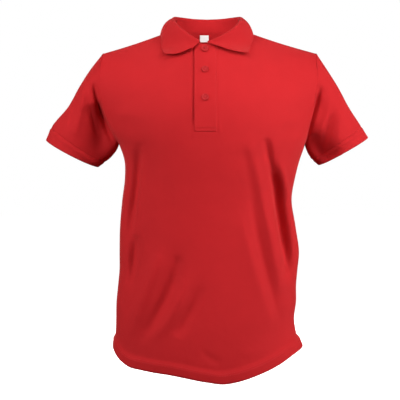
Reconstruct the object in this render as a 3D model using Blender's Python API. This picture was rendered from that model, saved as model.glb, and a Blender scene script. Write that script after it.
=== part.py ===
"""A man's short-sleeved polo shirt in cotton pique, filled out as it is worn.

The frame: +Z up, the front faces -Y, +X is the wearer's left. The origin lies midway between the
two high shoulder points, where the shoulder seams meet the neck. Lengths are in metres.

Each cloth piece is a grid of points on the shirt's outer face, made into a closed wall. A torso
point is named by its level (the height of its row at the side seam or the armhole) and by its
place across the panel, from -1 at the wearer's right edge to +1 at the left one.
"""

import math
from collections import namedtuple

import bmesh
import bpy
import numpy as np
from mathutils import Vector
from mathutils.bvhtree import BVHTree

# ---------------------------------------------------------------- driving dimensions

CLOTH = 0.0014          # pique wall
RIB = 0.0020            # flat-knit collar and cuffs
BAND = 0.0016           # folded and fused placket bands
SEAM_GAP = 0.0003       # between two pieces that are sewn together
LAY_GAP = 0.0005        # between a panel and what lies on it

HEM_LEVEL = -0.643      # side seams' lower end
UNDERARM_LEVEL = -0.232
TIP_LEVEL = -0.046      # outer end of the shoulder seams

NECK_HALF_WIDTH = 0.080
SHOULDER_SEAM_Y = 0.005
SHOULDER_SAG = 0.0015   # of the shoulder seam below a straight line
NECK_FRONT_Y = -0.076
NECK_BACK_Y = 0.048
NECK_FRONT_Z = -0.036
NECK_BACK_Z = 0.0025
NECK_PLACE = 0.40       # place across the panel where the shoulder seam meets the neck

ARMHOLE_DEPTH = 0.052   # from the shoulder seam's line forwards, and backwards
ARMHOLE_POWER = 2.3     # 2 is an ellipse, more is squarer
RING_POWER = 2.35       # the same for a level cut through the torso
SHOULDER_WRAP = 0.92    # how flatly the chest meets the armhole at the shoulder

# A row for each level of the torso. right and left are its half widths, and the other
# columns give the middle of the front and of the back.
Level = namedtuple("Level", "level right left front_z front_y back_z back_y")
TORSO = [
    Level(-0.643, 0.191, 0.192, -0.701, -0.122, -0.672, 0.108),
    Level(-0.615, 0.188, 0.181, -0.667, -0.121, -0.642, 0.107),
    Level(-0.588, 0.187, 0.177, -0.634, -0.119, -0.613, 0.104),
    Level(-0.551, 0.186, 0.181, -0.589, -0.116, -0.573, 0.099),
    Level(-0.520, 0.183, 0.181, -0.554, -0.113, -0.539, 0.094),
    Level(-0.486, 0.180, 0.184, -0.516, -0.110, -0.503, 0.088),
    Level(-0.455, 0.180, 0.187, -0.481, -0.108, -0.469, 0.083),
    Level(-0.400, 0.179, 0.180, -0.420, -0.107, -0.410, 0.079),
    Level(-0.342, 0.174, 0.172, -0.357, -0.109, -0.349, 0.081),
    Level(-0.300, 0.169, 0.179, -0.313, -0.113, -0.306, 0.087),
    Level(-0.265, 0.170, 0.188, -0.276, -0.118, -0.269, 0.093),
    Level(-0.232, 0.181, 0.199, -0.242, -0.122, -0.235, 0.099),
    Level(-0.205, 0.194, 0.203, -0.213, -0.124, -0.206, 0.103),
    Level(-0.185, 0.201, 0.207, -0.190, -0.125, -0.183, 0.105),
    Level(-0.142, 0.213, 0.216, -0.143, -0.121, -0.136, 0.104),
    Level(-0.093, 0.217, 0.220, -0.092, -0.107, -0.082, 0.092),
    Level(-0.062, 0.216, 0.222, -0.060, -0.090, -0.038, 0.072),
    Level(-0.046, 0.214, 0.223, -0.038, -0.076, 0.0025, 0.048),
]
YOKE_LEVEL = -0.195     # above this the rows bend to meet the shoulder seams and the neck
YOKE_POWER = 2.1        # how late they bend
NECK_BLUR = 0.30        # how wide the neck's corners are blurred, as a place across
NECK_SHARPNESS = 5      # how soon the blur sets in below the edge

# How far down the front hem's dip each place lies, as a share of the dip in the middle.
HEM_DIP = [
    (-1.00, 0.00), (-0.95, 0.24), (-0.85, 0.50), (-0.66, 0.64), (-0.38, 0.76), (0.00, 0.99),
    (0.15, 1.05), (0.30, 0.98), (0.50, 0.78), (0.73, 0.46), (0.88, 0.18), (1.00, 0.00),
]

# A row for each section of a sleeve, from the armhole (along 0) to the cuff's seam (along 1)
# and the cuff's edge: its upper and lower point in the front view, how far it reaches forwards
# and backwards, and how far its front leads towards the cuff.
Section = namedtuple("Section", "along over_x over_z under_x under_z front back lead")
SLEEVE_LEFT = [
    Section(0.00, 0.223, -0.046, 0.199, -0.232, 0.052, 0.052, 0.000),
    Section(0.20, 0.243, -0.076, 0.2025, -0.2415, 0.050, 0.053, 0.001),
    Section(0.45, 0.267, -0.114, 0.206, -0.250, 0.050, 0.053, 0.002),
    Section(0.72, 0.289, -0.155, 0.2105, -0.257, 0.050, 0.051, 0.003),
    Section(1.00, 0.315, -0.195, 0.2155, -0.2635, 0.049, 0.049, 0.003),
    Section(1.15, 0.329, -0.217, 0.228, -0.2745, 0.048, 0.048, 0.003),
]
SLEEVE_RIGHT = [
    Section(0.00, 0.214, -0.046, 0.181, -0.232, 0.052, 0.052, 0.000),
    Section(0.20, 0.238, -0.076, 0.186, -0.243, 0.050, 0.053, 0.001),
    Section(0.45, 0.262, -0.113, 0.193, -0.2525, 0.050, 0.053, 0.003),
    Section(0.72, 0.285, -0.154, 0.201, -0.261, 0.050, 0.051, 0.004),
    Section(1.00, 0.320, -0.197, 0.211, -0.2685, 0.049, 0.049, 0.005),
    Section(1.15, 0.331, -0.222, 0.224, -0.2785, 0.048, 0.048, 0.005),
]
SLEEVE_Y = 0.003        # middle of the cuff, front to back
ARMHOLE_FADE = 1.6      # how fast the armhole's own outline fades along the sleeve
SLEEVE_HEADING = (0.49, -0.87)  # the way to the cuff in the front view

# Soft folds, as lines in the front or back view: both ends, the half width, and how far the
# cloth stands out (or in, below 0).
Fold = namedtuple("Fold", "x1 z1 x2 z2 width depth")
FRONT_FOLDS = [
    Fold(0.103, -0.250, 0.156, -0.530, 0.011, 0.0050),
    Fold(0.130, -0.245, 0.163, -0.485, 0.011, -0.0115),
    Fold(0.076, -0.390, 0.134, -0.590, 0.012, 0.0045),
    Fold(0.108, -0.395, 0.145, -0.560, 0.011, -0.0065),
    Fold(-0.141, -0.245, -0.158, -0.400, 0.012, -0.0080),
    Fold(-0.096, -0.425, -0.160, -0.560, 0.014, 0.0045),
    Fold(-0.068, -0.430, -0.126, -0.610, 0.013, -0.0055),
    Fold(-0.038, -0.490, -0.102, -0.620, 0.012, 0.0040),
    Fold(-0.028, -0.500, -0.078, -0.632, 0.012, -0.0040),
]
BACK_FOLDS = [
    Fold(0.120, -0.200, 0.090, -0.420, 0.015, -0.0060),
    Fold(-0.125, -0.210, -0.085, -0.440, 0.015, -0.0065),
    Fold(0.055, -0.380, 0.105, -0.600, 0.016, -0.0060),
    Fold(-0.050, -0.400, -0.110, -0.610, 0.016, -0.0060),
    Fold(0.005, -0.360, -0.010, -0.620, 0.018, 0.0050),
]
SLEEVE_FOLDS = [
    Fold(0.226, -0.090, 0.206, -0.235, 0.013, -0.0120),
    Fold(0.252, -0.110, 0.252, -0.230, 0.012, 0.0050),
    Fold(0.262, -0.150, 0.250, -0.240, 0.010, -0.0030),
]

# The placket: the upper band laps from the wearer's left over the right.
BAND_RIGHT_X = -0.026
BAND_LEFT_X = 0.018
BAND_FOOT_LEVEL = -0.206
BAND_TOP_DROP = 0.0015  # of the bands' upper ends below the neck seam
UNDERBAND_INSET = 0.004
SLIT_RIGHT_PLACE = -0.05
SLIT_LEFT_PLACE = 0.0
SLIT_FOOT_LEVEL = -0.190

BUTTON_X = -0.0055
BUTTON_HEIGHTS = {"button_top": -0.0475, "button_middle": -0.0905, "button_bottom": -0.1465}
BUTTON_RADIUS = 0.0070
BUTTON_THICKNESS = 0.0026
BUTTON_RIM = 0.0016     # width of the raised rim
BUTTON_DISH = 0.0006    # how deep the middle lies below it
BUTTON_GAP = 0.0007     # between a button and the band

# A row for each place round the collar, as the angle along the neckline from the collar's end
# (0) over the shoulder seam (90) to the middle of the back (180): the stand's height,
# how far its top leans in, how far the leaf droops below a straight line, how full it bows out
# (both on each side), and where its outer edge lies.
Collar = namedtuple(
    "Collar",
    "angle stand lean right_droop left_droop right_bow left_bow right_x left_x edge_y right_z left_z",
)
COLLAR = [
    Collar(0, 0.0010, 0.000, 0.034, 0.016, 0.10, 0.10, 0.0815, 0.0745, -0.060, -0.0585, -0.0595),
    Collar(12, 0.006, 0.001, 0.020, 0.011, 0.15, 0.15, 0.0880, 0.0780, -0.053, -0.0530, -0.0530),
    Collar(25, 0.0105, 0.003, 0.010, 0.006, 0.25, 0.15, 0.0910, 0.0825, -0.043, -0.0445, -0.0430),
    Collar(40, 0.0145, 0.005, 0.003, 0.003, 0.35, 0.20, 0.0930, 0.0880, -0.031, -0.034, -0.0320),
    Collar(60, 0.018, 0.009, 0.000, 0.000, 0.48, 0.30, 0.0940, 0.0915, -0.015, -0.020, -0.0205),
    Collar(90, 0.0240, 0.015, 0.000, 0.000, 0.65, 0.50, 0.095, 0.091, 0.004, -0.006, -0.007),
    Collar(115, 0.0268, 0.013, 0.000, 0.000, 0.60, 0.50, 0.086, 0.084, 0.016, -0.010, -0.010),
    Collar(140, 0.0268, 0.008, 0.000, 0.000, 0.50, 0.42, 0.065, 0.064, 0.037, -0.011, -0.011),
    Collar(160, 0.0255, 0.004, 0.000, 0.000, 0.45, 0.45, 0.035, 0.035, 0.053, -0.013, -0.013),
    Collar(180, 0.0250, 0.003, 0.000, 0.000, 0.45, 0.45, 0.000, 0.000, 0.058, -0.014, -0.014),
]
COLLAR_ROLL = 0.0027    # radius of the fold between stand and leaf
ROLL_SWELL = 0.0013     # how much more it is over the shoulders
LEAF_CLEARANCE = 0.0012 # between the leaf and the shirt below it
LEAF_LIFT = 0.0040      # more than that under the leaf's front edge
LIFT_FADE = 22          # the angle at which that has faded out

LABEL_X = -0.0064
LABEL_WIDTH = 0.0180
LABEL_LENGTH = 0.0140
LABEL_DROP = 0.0045     # of its upper edge below the neck seam
LABEL_THICKNESS = 0.0010
LABEL_STANDS_IN = 0.0023

# ---------------------------------------------------------------- mesh density

SIDE_COLUMNS = 9        # from a panel's edge to the neck's place
NECK_COLUMNS = 16       # across the neck
BODY_ROWS = 20          # from the hem to the underarm
ARMHOLE_ROWS = 12       # from the underarm to the shoulder's tip
SLEEVE_RINGS = 9
CUFF_RINGS = 2
STAND_ROWS = 3
ROLL_ROWS = 4
LEAF_ROWS = 6
BAND_COLUMNS = 3
BUTTON_SIDES = 20

FRONT, BACK = -1, 1
RIM_ORDER = Vector((0.2, 0.5, 0.8))  # so that two walls that meet split their rims alike

# ---------------------------------------------------------------- curves


def smooth(keys, values, at):
    """Reads a smooth curve through the keyed values (a column, or rows of columns)."""
    keys, values, at = (np.asarray(a, float) for a in (keys, values, at))
    slopes = np.gradient(values, keys, axis=0)
    i = np.clip(np.searchsorted(keys, at) - 1, 0, len(keys) - 2)
    span = keys[i + 1] - keys[i]
    t = (at - keys[i]) / span
    if values.ndim > 1:
        t, span = t[..., None], span[..., None]
    return (
        (2 * t**3 - 3 * t**2 + 1) * values[i]
        + (t**3 - 2 * t**2 + t) * span * slopes[i]
        + (3 * t**2 - 2 * t**3) * values[i + 1]
        + (t**3 - t**2) * span * slopes[i + 1]
    )


def column(table, name):
    return [getattr(row, name) for row in table]


def ease(t):
    t = np.clip(t, 0, 1)
    return t * t * (3 - 2 * t)


def unit(vectors):
    return vectors / np.maximum(np.linalg.norm(vectors, axis=-1, keepdims=True), 1e-12)


def fold_depth(x, z, folds):
    """How far the folds lift the cloth at points of the front or back view."""
    depth = np.zeros(np.broadcast(x, z).shape)
    for f in folds:
        run_x, run_z = f.x2 - f.x1, f.z2 - f.z1
        along = ((x - f.x1) * run_x + (z - f.z1) * run_z) / (run_x**2 + run_z**2)
        held = np.clip(along, 0, 1)
        away = np.hypot(x - f.x1 - held * run_x, z - f.z1 - held * run_z)
        swell = 0.35 + 0.65 * np.sin(math.pi * held)
        depth += f.depth * swell * np.exp(-((away / f.width) ** 2))
    return depth


# ---------------------------------------------------------------- torso


def armhole_oval(level):
    """0 at the underarm and the shoulder's tip, 1 halfway: the armhole's reach off its line."""
    middle = (UNDERARM_LEVEL + TIP_LEVEL) / 2
    off_middle = np.abs(np.asarray(level, float) - middle) / (TIP_LEVEL - middle)
    return np.clip(1 - off_middle**ARMHOLE_POWER, 0, 1) ** (1 / ARMHOLE_POWER)


def ring_point(place, level, side):
    """A point of the torso before its rows bend to the shoulder seams and the neck."""
    place, level = np.broadcast_arrays(np.asarray(place, float), np.asarray(level, float))
    keys = column(TORSO, "level")
    right, left = (smooth(keys, column(TORSO, n), level) for n in ("right", "left"))
    panel = "front" if side == FRONT else "back"
    middle_y, middle_z = (smooth(keys, column(TORSO, f"{panel}_{n}"), level) for n in "yz")

    up_armhole = np.clip((level - UNDERARM_LEVEL) / (TIP_LEVEL - UNDERARM_LEVEL), 0, 1)
    seam_y = SHOULDER_SEAM_Y * up_armhole
    wrap = 1 / RING_POWER + (SHOULDER_WRAP - 1 / RING_POWER) * ease(up_armhole * 1.7)
    # The armhole is cut from the ring where it has come this share of the way to the middle.
    cut = ARMHOLE_DEPTH * armhole_oval(level) / np.abs(middle_y - seam_y)
    kept = (1 - cut ** (1 / wrap)) ** (1 / RING_POWER)
    bulge = np.clip(1 - np.abs(place * kept) ** RING_POWER, 0, 1) ** wrap

    if side == FRONT:
        dip = smooth(*zip(*HEM_DIP), place)
    else:
        dip = 1 - place**2
    x = (left - right) / 2 + place * (left + right) / 2
    y = seam_y + (middle_y - seam_y) * bulge
    z = level + (middle_z - level) * dip

    folds = FRONT_FOLDS if side == FRONT else BACK_FOLDS
    lift = fold_depth(x, z, folds) * (1 - np.abs(place) ** 8)
    out = unit(np.stack([place, side * np.maximum(bulge, 1e-6)], axis=-1))
    return np.stack([x + lift * out[..., 0], y + lift * out[..., 1], z], axis=-1)


def top_edge(place, side):
    """A panel's upper edge: the shoulder seams, and the neckline between them."""
    place = np.asarray(place, float)
    sign = np.where(place < 0, -1, 1)
    tip_x = np.where(place < 0, TORSO[-1].right, TORSO[-1].left)
    seam = np.clip((np.abs(place) - NECK_PLACE) / (1 - NECK_PLACE), 0, 1)
    turn = np.clip(1 - np.abs(place) / NECK_PLACE, 0, 1) * math.pi / 2
    neck_y, neck_z = (NECK_FRONT_Y, NECK_FRONT_Z) if side == FRONT else (NECK_BACK_Y, NECK_BACK_Z)
    x = sign * (NECK_HALF_WIDTH * np.cos(turn) + (tip_x - NECK_HALF_WIDTH) * seam)
    y = SHOULDER_SEAM_Y + (neck_y - SHOULDER_SEAM_Y) * np.sin(turn)
    sag = SHOULDER_SAG * np.sin(math.pi * seam)
    z = TIP_LEVEL * seam - sag + neck_z * np.sin(turn) ** 2
    return np.stack([x, y, z], axis=-1)


def torso_point(place, level, side):
    """A point of the torso's outer face."""
    place, level = np.broadcast_arrays(np.asarray(place, float), np.asarray(level, float))
    rise = np.clip((level - YOKE_LEVEL) / (TIP_LEVEL - YOKE_LEVEL), 0, 1)[..., None]
    # The corner where the shoulder seam meets the neck is blurred below the edge itself.
    reach = NECK_BLUR * np.clip((1 - np.abs(place)) / NECK_BLUR, 0, 1)
    blurred = sum(top_edge(place + reach * k / 3, side) for k in range(-3, 4)) / 7
    edge = blurred + rise**NECK_SHARPNESS * (top_edge(place, side) - blurred)
    to_edge = edge - ring_point(place, np.full_like(level, TIP_LEVEL), side)
    return ring_point(place, level, side) + rise**YOKE_POWER * to_edge


def torso_normal(place, level, side, step=1e-3):
    across = torso_point(place + step, level, side) - torso_point(place - step, level, side)
    down = np.minimum(level - 2 * step, TIP_LEVEL - 2 * step)
    up = torso_point(place, down + 2 * step, side) - torso_point(place, down, side)
    return unit(np.cross(across, up)) * (1 if side == FRONT else -1)


def panel_places():
    """Places across a panel: dense towards its rounded edges, and one on each neck point."""
    edge_turn = math.acos(NECK_PLACE)
    side = np.cos(np.linspace(0, edge_turn, SIDE_COLUMNS + 1))[:-1]
    neck = np.linspace(-NECK_PLACE, NECK_PLACE, NECK_COLUMNS + 1)
    return np.concatenate([-side, neck, side[::-1]])


def armhole_levels():
    turn = np.linspace(0, math.pi, ARMHOLE_ROWS + 1)
    return UNDERARM_LEVEL + (TIP_LEVEL - UNDERARM_LEVEL) * (1 - np.cos(turn)) / 2


def panel_levels():
    body = np.linspace(HEM_LEVEL, UNDERARM_LEVEL, BODY_ROWS + 1)
    return np.concatenate([body[:-1], armhole_levels()])


def panel_grid(side):
    """The panel's points, in rows from the hem up. The back runs from left to right, so that
    both panels face out."""
    places = panel_places() * (1 if side == FRONT else -1)
    return torso_point(places[None, :], panel_levels()[:, None], side)


# ---------------------------------------------------------------- sleeves


def armhole_loop(hand):
    """The armhole from the shoulder's tip down the front to the underarm and up the back."""
    levels = armhole_levels()
    front = torso_point(hand, levels, FRONT)[::-1]
    back = torso_point(hand, levels, BACK)
    return np.concatenate([front, back[1:-1]])


def sleeve_ring(sections, turn, along):
    """An oval section of the sleeve on the wearer's left. turn is 0 at its top, and goes
    forwards; along is a number."""
    over_x, over_z, under_x, under_z, front, back, lead = (
        smooth(column(sections, "along"), column(sections, n), along)
        for n in Section._fields[1:]
    )
    lean = np.cos(turn)
    reach = np.sin(turn)
    led = lead * np.clip(reach, 0, 1)
    x = (over_x + under_x) / 2 + lean * (over_x - under_x) / 2 + led * SLEEVE_HEADING[0]
    z = (over_z + under_z) / 2 + lean * (over_z - under_z) / 2 + led * SLEEVE_HEADING[1]
    y = SLEEVE_Y * along - np.where(reach > 0, front, back) * reach
    pushed = np.clip(reach, 0, 1) * fold_depth(x, z, SLEEVE_FOLDS) * ease(along * 6)
    return np.stack([x, y - pushed, z], axis=-1)


def sleeve_grid(hand, start, end, rings):
    """Rings round one sleeve between two places along it. hand is +1 for the wearer's left."""
    sections = SLEEVE_LEFT if hand > 0 else SLEEVE_RIGHT
    armhole = armhole_loop(hand) * [hand, 1, 1]
    turn = np.linspace(0, 2 * math.pi, len(armhole), endpoint=False)
    own_shape = armhole - sleeve_ring(sections, turn, 0.0)
    grid = np.stack([
        sleeve_ring(sections, turn, along) + own_shape * max(0, 1 - along) ** ARMHOLE_FADE
        for along in np.linspace(start, end, rings + 1)
    ])
    return grid if hand > 0 else grid[:, ::-1] * [-1, 1, 1]


# ---------------------------------------------------------------- collar


def neckline():
    """(points, angles) of the collar's seam, from its end beside the slit on the wearer's left
    round the back to the other end. An angle is 0 at either end and 180 behind."""
    places = panel_places()
    neck = places[np.abs(places) < NECK_PLACE + 1e-9]
    left = neck[neck >= SLIT_LEFT_PLACE - 1e-9]
    right = neck[neck <= SLIT_RIGHT_PLACE + 1e-9]
    behind = neck[::-1]
    points = np.concatenate([
        top_edge(left, FRONT), top_edge(behind, BACK)[1:-1], top_edge(right, FRONT),
    ])
    quarter = [0, 90]
    angles = np.concatenate([
        np.interp(left, [SLIT_LEFT_PLACE, NECK_PLACE], quarter),
        180 - np.interp(np.abs(behind[1:-1]), [0, NECK_PLACE], quarter),
        np.interp(-right, [-SLIT_RIGHT_PLACE, NECK_PLACE], quarter),
    ])
    return points, angles


def collar_section(seam, outward, angle, hand, below):
    """The collar cut across: up the stand, over the roll and down the leaf, which is laid over
    the shirt whose faces `below` holds."""
    row = Collar(*(
        float(smooth(column(COLLAR, "angle"), column(COLLAR, n), angle)) for n in Collar._fields
    ))
    stand, lean, edge_y = row.stand, row.lean, row.edge_y
    if hand > 0:
        droop, bow, edge_x, edge_z = row.left_droop, row.left_bow, row.left_x, row.left_z
    else:
        droop, bow, edge_x, edge_z = row.right_droop, row.right_bow, -row.right_x, row.right_z
    up = np.array([0, 0, 1.0])
    lifted = LEAF_LIFT * max(0.0, 1 - angle / LIFT_FADE)
    edge = laid_on(np.array([edge_x, edge_y, edge_z]), below, RIB + LEAF_CLEARANCE + lifted)
    roll_radius = COLLAR_ROLL + ROLL_SWELL * math.sin(math.radians(angle))

    top = seam + up * stand - outward * lean
    middle = top + outward * roll_radius
    rise = [seam + (top - seam) * i / STAND_ROWS for i in range(STAND_ROWS)]
    roll = [
        middle + roll_radius * (math.sin(t) * up - math.cos(t) * outward)
        for t in np.linspace(0, math.pi * 0.8, ROLL_ROWS + 1)
    ]
    start = roll[-1]
    level_out = (edge - start) * [1, 1, 0]
    straight = start + 0.5 * (edge - start)
    full = start + 0.1 * (edge - start) + 0.9 * level_out
    knee = straight + bow * (full - straight) - droop * up
    leaf = [
        (1 - t) ** 2 * start + 2 * t * (1 - t) * knee + t * t * edge
        for t in np.linspace(0, 1, LEAF_ROWS + 1)[1:]
    ]
    least = [RIB + LEAF_CLEARANCE + lifted * (i + 1) / LEAF_ROWS for i in range(LEAF_ROWS)]
    leaf = [laid_over(point, below, clearance) for point, clearance in zip(leaf, least)]
    return np.array(rise + roll + leaf)


def collar_grid(below):
    """The collar's points, in rows from the neck seam over the roll to the leaf's edge."""
    points, angles = neckline()
    outward = np.cross(np.gradient(points, axis=0), [0, 0, 1.0])
    outward = unit(outward * [1, 1, 0])
    left_end = (len(points) - 1) // 2
    sections = [
        collar_section(points[i], outward[i], angles[i], 1 if i <= left_end else -1, below)
        for i in range(len(points))
    ]
    return np.stack(sections, axis=1)


def laid_on(point, below, clearance):
    """The point, moved along the nearest face's normal to the given height over that face."""
    place, normal, _, _ = below.find_nearest(Vector(point))
    return np.array(place + normal * clearance)


def laid_over(point, below, clearance):
    """The point, moved out only where it is over a face and nearer to it than that."""
    place, normal, _, _ = below.find_nearest(Vector(point))
    offset = Vector(point) - place
    height = offset.dot(normal)
    beside = (offset - normal * height).length
    if height >= clearance or beside > max(0.002, abs(height)):
        return point
    return laid_on(point, below, clearance)


# ---------------------------------------------------------------- placket, label


def place_at(x, level):
    """The place across the front at which the row of that level passes x."""
    places = np.linspace(-0.3, 0.3, 241)
    return float(np.interp(x, torso_point(places, level, FRONT)[:, 0], places))


def band_grid(right_x, left_x, foot_level, lift):
    """A placket band's outer face, lifted off the front's own points."""
    between = [lv for lv in panel_levels() if foot_level + 0.004 < lv < TIP_LEVEL - 0.001]
    levels = [foot_level, *between, TIP_LEVEL - BAND_TOP_DROP]
    rows = []
    for level in levels:
        places = np.array([place_at(x, level) for x in np.linspace(right_x, left_x, BAND_COLUMNS + 1)])
        points = torso_point(places, level, FRONT)
        rows.append(points + lift * torso_normal(places, level, FRONT))
    return np.array(rows)


def label_grid():
    """The neck label, hanging just inside the back from the collar's seam."""
    place = NECK_PLACE * np.linspace(-0.1, 0.1, 3)
    seam_y = NECK_BACK_Y - LABEL_STANDS_IN
    top = NECK_BACK_Z - LABEL_DROP
    xs = LABEL_X + LABEL_WIDTH * np.linspace(-0.5, 0.5, len(place))
    heights = top - LABEL_LENGTH * np.linspace(1, 0, 4)
    return np.array([[[x, seam_y, z] for x in xs] for z in heights])


# ---------------------------------------------------------------- solids


def quads(grid, ring=False, left_out=()):
    """Corner indices (row, column) of the grid's faces, turned so that they face out."""
    rows, columns = grid.shape[:2]
    for r in range(rows - 1):
        for c in range(columns if ring else columns - 1):
            if (r, c) not in left_out:
                d = (c + 1) % columns
                yield (r, c), (r, d), (r + 1, d), (r + 1, c)


def key(point):
    return tuple(np.round(point, 6))


def point_normals(surfaces):
    """The mean normal at each point of these grids. surfaces holds (grid, ring)."""
    total = {}
    for grid, ring in surfaces:
        for corners in quads(grid, ring):
            a, b, c, d = (grid[i] for i in corners)
            normal = unit(np.cross(c - a, d - b))
            for point in (a, b, c, d):
                total[key(point)] = total.get(key(point), 0) + normal
    return {point: unit(normal) for point, normal in total.items()}


def shared_normals(*groups):
    """Normals for the points of several groups of grids. Groups that meet have equal shares in
    the normals along their seam, so that their walls are mitred there and don't cross."""
    total = {}
    for surfaces in groups:
        for point, normal in point_normals(surfaces).items():
            total[point] = total.get(point, 0) + normal
    return total


def normals_of(grid, total):
    return unit(np.array([[total[key(p)] for p in row] for row in grid]))


def drawn_edge(edge, inside, normals, ring):
    """A sewn edge, moved off the plane that halves the corner it makes with its neighbour."""
    if ring:
        along = np.roll(edge, -1, axis=0) - np.roll(edge, 1, axis=0)
    else:
        along = np.gradient(edge, axis=0)
    away = unit(np.cross(along, normals))
    away *= np.sign(np.sum(away * (inside - edge), axis=-1, keepdims=True))
    return away * SEAM_GAP / 2


def drawn_in(grid, normals, seams, ring):
    """The grid with its sewn edges drawn in by half a seam's gap. A panel's side is drawn in as
    two seams, and its top as three, so that a corner between two of them is moved by both."""
    made = grid.copy()
    if "bottom" in seams:
        made[0] += drawn_edge(grid[0], grid[1], normals[0], ring)
    if "top" in seams and ring:
        made[-1] += drawn_edge(grid[-1], grid[-2], normals[-1], ring)
    if "top" in seams and not ring:
        neck = SIDE_COLUMNS, SIDE_COLUMNS + NECK_COLUMNS
        for columns in (slice(neck[0] + 1), slice(neck[0], neck[1] + 1), slice(neck[1], None)):
            made[-1, columns] += drawn_edge(
                grid[-1, columns], grid[-2, columns], normals[-1, columns], False
            )
    if "sides" in seams:
        for edge, inside in ((0, 1), (-1, -2)):
            for rows in (slice(BODY_ROWS + 1), slice(BODY_ROWS, None)):
                made[rows, edge] += drawn_edge(
                    grid[rows, edge], grid[rows, inside], normals[rows, edge], False
                )
    return made


def wall(name, grid, normals, thickness, material, seams=(), ring=False, left_out=()):
    """A closed wall: the grid is its outer face, and the inner one lies a thickness behind."""
    outer = drawn_in(grid, normals, seams, ring)
    inner = outer - thickness * normals
    mesh = bmesh.new()
    made = {}

    def corner(index, layer):
        if (index, layer) not in made:
            points = outer if layer == 0 else inner
            made[index, layer] = mesh.verts.new(points[index])
        return made[index, layer]

    edges = set()
    for corners in quads(grid, ring, left_out):
        mesh.faces.new([corner(i, 0) for i in corners])
        mesh.faces.new([corner(i, 1) for i in reversed(corners)])
        edges.update(zip(corners, corners[1:] + corners[:1]))
    for a, b in sorted(edges):
        if (b, a) in edges:
            continue
        rim = [corner(b, 0), corner(a, 0), corner(a, 1), corner(b, 1)]
        if (rim[0].co - rim[1].co).dot(RIM_ORDER) > 0:
            rim = rim[1:] + rim[:1]
        mesh.faces.new(rim)
    return add_object(name, mesh, material)


def add_object(name, mesh, material):
    data = bpy.data.meshes.new(name)
    mesh.to_mesh(data)
    mesh.free()
    data.shade_smooth()
    data.set_sharp_from_angle(angle=math.radians(40))
    data.materials.append(material)
    made = bpy.data.objects.new(name, data)
    bpy.context.scene.collection.objects.link(made)
    return made


def button(name, height, band, material):
    """A turned button with a raised rim, lying on the upper band's face below it."""
    level = level_at(height)
    place = place_at(BUTTON_X, level)
    outward = Vector(torso_normal(place, level, FRONT))
    start = Vector(torso_point(place, level, FRONT)) + outward * 0.02
    face_point, normal, _, _ = band.ray_cast(start, -outward)
    seat = face_point + normal * BUTTON_GAP
    profile = [
        (BUTTON_RADIUS * 0.80, 0),
        (BUTTON_RADIUS, BUTTON_THICKNESS * 0.45),
        (BUTTON_RADIUS - BUTTON_RIM * 0.4, BUTTON_THICKNESS),
        (BUTTON_RADIUS - BUTTON_RIM, BUTTON_THICKNESS),
        (BUTTON_RADIUS - 1.6 * BUTTON_RIM, BUTTON_THICKNESS - BUTTON_DISH),
    ]
    mesh = bmesh.new()
    rings = [
        [
            mesh.verts.new((r * math.cos(t), r * math.sin(t), h))
            for t in np.linspace(0, 2 * math.pi, BUTTON_SIDES, endpoint=False)
        ]
        for r, h in profile
    ]
    for low, high in zip(rings, rings[1:]):
        for i in range(BUTTON_SIDES):
            j = (i + 1) % BUTTON_SIDES
            mesh.faces.new([low[i], low[j], high[j], high[i]])
    mesh.faces.new(rings[0][::-1])
    mesh.faces.new(rings[-1])
    made = add_object(name, mesh, material)
    made.location = seat
    made.rotation_mode = "QUATERNION"
    made.rotation_quaternion = normal.to_track_quat("Z", "Y")
    return made


def level_at(height):
    """The level of the row that passes that height in the middle of the front."""
    levels = np.linspace(SLIT_FOOT_LEVEL, TIP_LEVEL, 241)
    return float(np.interp(height, torso_point(0.0, levels, FRONT)[:, 2], levels))


def cloth_material(name, colour, roughness):
    made = bpy.data.materials.new(name)
    made.use_nodes = True
    shader = made.node_tree.nodes["Principled BSDF"]
    shader.inputs["Base Color"].default_value = (*colour, 1)
    shader.inputs["Roughness"].default_value = roughness
    shader.inputs["Metallic"].default_value = 0
    return made


def faces_of(*surfaces):
    """The outer faces of several grids, for laying something over them."""
    points, faces = [], []
    for grid, ring in surfaces:
        start = len(points)
        points += [Vector(p) for p in grid.reshape(-1, 3)]
        columns = grid.shape[1]
        faces += [[start + r * columns + c for r, c in corners] for corners in quads(grid, ring)]
    return BVHTree.FromPolygons(points, faces)


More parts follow.
